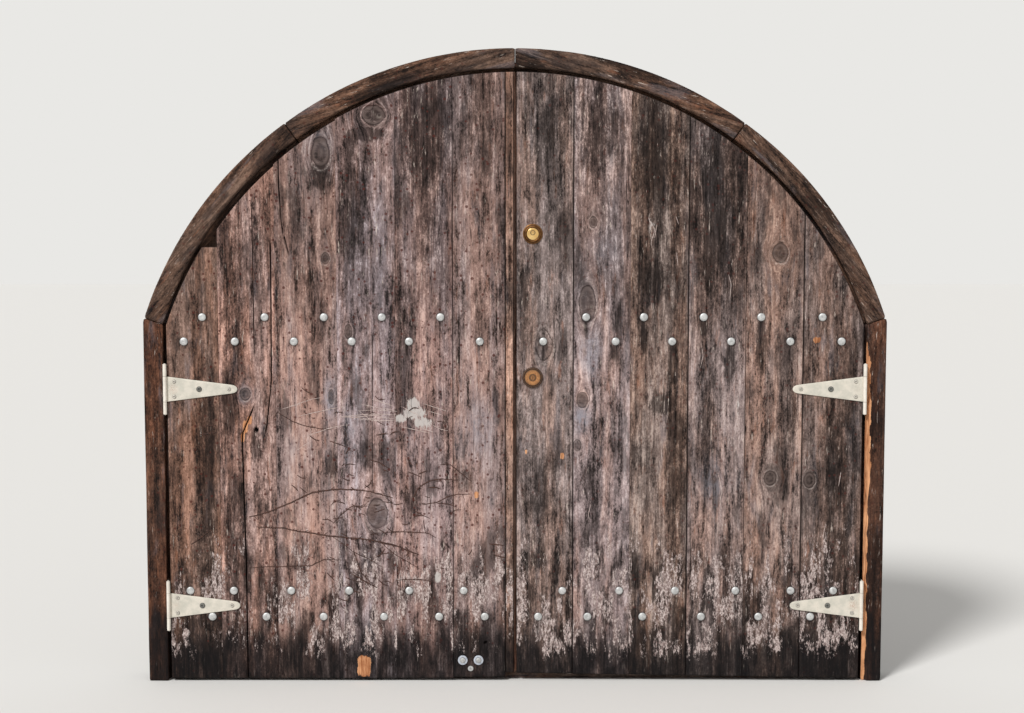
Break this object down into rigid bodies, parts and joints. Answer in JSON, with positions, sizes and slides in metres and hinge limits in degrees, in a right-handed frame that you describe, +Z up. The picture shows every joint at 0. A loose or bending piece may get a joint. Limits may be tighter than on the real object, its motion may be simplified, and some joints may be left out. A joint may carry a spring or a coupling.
{
  "type": "arched door",
  "caption": "Arched double door of weathered planks with bolted ledges, zinc T hinges and brass rim locks, hung in a rebated timber frame.",
  "frame": {"origin": "on the floor, midway between the two jambs and midway through the frame's depth", "axes": "+Z up, -Y out of the door's front, +X to the right seen from the front"},
  "size_m": [2.232, 0.1164, 1.909],
  "materials": {
    "frame_timber": "rough, weathered",
    "plank": "weathered",
    "edge_wood": "worn",
    "ledge_wood": "sawn",
    "zinc": "zinc plated, dulled",
    "bare_steel": "dull, rusting",
    "lacquered_steel": "satin, chipped",
    "polished_brass": "worn bright",
    "aged_brass": "tarnished"
  },
  "bodies": {
    "frame": {"left_jamb": "frame_timber", "right_jamb": "frame_timber", "head_piece_1": "frame_timber", "head_piece_2": "frame_timber", "head_piece_3": "frame_timber", "head_piece_4": "frame_timber", "head_tenons": "frame_timber", "sill": "frame_timber", "upper_left_cross_leaf": "zinc", "lower_left_cross_leaf": "zinc", "upper_right_cross_leaf": "zinc", "lower_right_cross_leaf": "zinc", "cross_leaf_screws": "zinc", "hinge_pins": "zinc"},
    "left_leaf": {"left_plank_1": "plank", "left_plank_2": "plank", "left_plank_3": "plank", "left_plank_4": "plank", "left_plank_5": "plank", "left_plank_6": "plank", "left_edge_strip": "edge_wood", "left_upper_ledge": "ledge_wood", "left_lower_ledge": "ledge_wood", "left_bolts": "zinc", "left_nuts": "zinc", "left_strap_screws": "zinc", "upper_left_strap": "zinc", "lower_left_strap": "zinc", "upper_keeper": "lacquered_steel", "lower_keeper": "lacquered_steel", "foot_bolt_plate": "bare_steel", "foot_bolt_fixings": "zinc"},
    "right_leaf": {"right_plank_1": "plank", "right_plank_2": "plank", "right_plank_3": "plank", "right_plank_4": "plank", "right_plank_5": "plank", "right_plank_6": "plank", "right_upper_ledge": "ledge_wood", "right_lower_ledge": "ledge_wood", "right_bolts": "zinc", "right_nuts": "zinc", "right_strap_screws": "zinc", "upper_right_strap": "zinc", "lower_right_strap": "zinc", "upper_lock_collar": "polished_brass", "lower_lock_collar": "aged_brass", "upper_lock_cylinder": "polished_brass", "lower_lock_cylinder": "aged_brass", "upper_lock_case": "lacquered_steel", "lower_lock_case": "lacquered_steel"},
    "foot_bolt": {"foot_bolt_bar": "bare_steel"},
    "upper_lock": {"upper_lock_plug": "polished_brass", "upper_lock_turn": "lacquered_steel"},
    "upper_latch": {"upper_lock_latch": "bare_steel"},
    "lower_lock": {"lower_lock_plug": "aged_brass", "lower_lock_turn": "lacquered_steel"},
    "lower_latch": {"lower_lock_latch": "bare_steel"}
  },
  "joints": [
    {"name": "left_leaf_swing", "type": "hinge", "parent": "frame", "child": "left_leaf", "pos_m": [-1.051, -0.0582, 0], "axis": [0, 0, -1], "range_deg": [0, 110]},
    {"name": "right_leaf_swing", "type": "hinge", "parent": "frame", "child": "right_leaf", "pos_m": [1.051, -0.0582, 0], "axis": [0, 0, 1], "range_deg": [0, 110]},
    {"name": "foot_bolt_drop", "type": "slide", "parent": "left_leaf", "child": "foot_bolt", "axis": [0, 0, -1], "range_m": [0, 0.022]},
    {"name": "upper_lock_turning", "type": "hinge", "parent": "right_leaf", "child": "upper_lock", "pos_m": [0.053, 0, 1.364], "axis": [0, -1, 0], "range_deg": [0, 90]},
    {"name": "upper_latch_throw", "type": "slide", "parent": "right_leaf", "child": "upper_latch", "axis": [-1, 0, 0], "range_m": [0, 0.022]},
    {"name": "lower_lock_turning", "type": "hinge", "parent": "right_leaf", "child": "lower_lock", "pos_m": [0.053, 0, 0.93], "axis": [0, -1, 0], "range_deg": [0, 90]},
    {"name": "lower_latch_throw", "type": "slide", "parent": "right_leaf", "child": "lower_latch", "axis": [-1, 0, 0], "range_m": [0, 0.022]}
  ],
  "couplings": [
    {"joint": "upper_latch_throw", "follows": "upper_lock_turning", "m_per_rad": 0.014},
    {"joint": "lower_latch_throw", "follows": "lower_lock_turning", "m_per_rad": 0.014}
  ]
}
